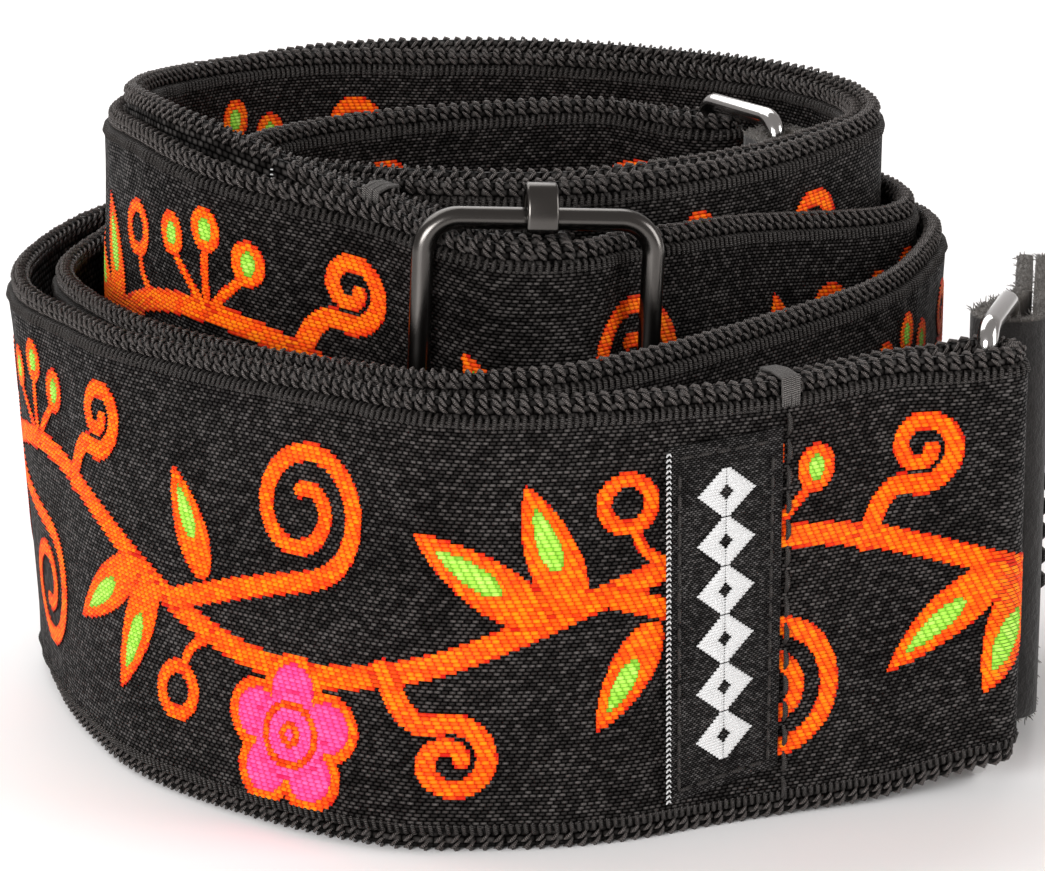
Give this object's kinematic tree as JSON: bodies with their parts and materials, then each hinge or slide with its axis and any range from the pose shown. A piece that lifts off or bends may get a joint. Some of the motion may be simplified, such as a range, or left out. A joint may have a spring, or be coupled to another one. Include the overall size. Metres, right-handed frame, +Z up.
{
  "type": "guitar strap",
  "caption": "Wide woven strap with a patterned ribbon, rolled up on its edge, with metal rings, an adjusting slider and folded leather end tabs.",
  "frame": {"origin": "middle of the roll's footprint on the surface it stands on", "axes": "+Z up, -Y towards the front turn with the label, +X towards the outer ring"},
  "size_m": [0.1346, 0.1332, 0.0735],
  "materials": {
    "black_webbing": "matt coarse weave",
    "jacquard_ribbon": "satin weave, orange, green and pink on black",
    "black_satin": "satin",
    "black_thread": "thread",
    "nickel": "polished nickel",
    "black_steel": "satin black nickel",
    "grey_leather": "black face, grey suede back"
  },
  "bodies": {
    "strap": {"webbing": "black_webbing", "jacquard_ribbon": "jacquard_ribbon", "ribbon_seam_upper": "black_thread", "ribbon_seam_lower": "black_thread", "label": "black_satin", "label_seam": "black_thread", "outer_loop_seam": "black_thread", "outer_loop_bartack_upper": "black_thread", "slider_loop_seam": "black_thread", "slider_loop_bartack_upper": "black_thread", "slider_loop_bartack_lower": "black_thread"},
    "outer_ring": {"outer_ring": "nickel"},
    "outer_tab": {"outer_tab": "grey_leather", "outer_tab_seam": "black_thread"},
    "inner_ring": {"inner_ring": "nickel"},
    "inner_tab": {"inner_tab": "grey_leather", "inner_tab_seam": "black_thread"},
    "centre_bar": {"slider_centre_bar": "black_steel"},
    "slider_frame": {"slider_frame": "black_steel"}
  },
  "joints": [
    {"name": "outer_ring_hinge", "type": "hinge", "parent": "strap", "child": "outer_ring", "pos_m": [0.04897, -0.04279, 0.0276], "axis": [0, 0, 1], "range_deg": [-100, 2]},
    {"name": "outer_tab_hinge", "type": "hinge", "parent": "outer_ring", "child": "outer_tab", "pos_m": [0.05351, -0.02641, 0.0276], "axis": [0, 0, 1], "range_deg": [-80, 2]},
    {"name": "inner_ring_hinge", "type": "hinge", "parent": "strap", "child": "inner_ring", "pos_m": [0.02071, 0.03051, 0.0414], "axis": [0, 0, 1], "range_deg": [-3, 0]},
    {"name": "inner_tab_hinge", "type": "hinge", "parent": "inner_ring", "child": "inner_tab", "pos_m": [0.02869, 0.0155, 0.0414], "axis": [0, 0, 1], "range_deg": [-3, 0]},
    {"name": "centre_bar_hinge", "type": "hinge", "parent": "strap", "child": "centre_bar", "pos_m": [-0.00271, -0.03521, 0.0375], "axis": [0.0432, 0.0061, 0.999], "range_deg": [-1, 1]},
    {"name": "slider_frame_slide", "type": "slide", "parent": "centre_bar", "child": "slider_frame", "axis": [0.9893, 0.139, -0.0436], "range_m": [-0.0004, 0.0002]}
  ]
}
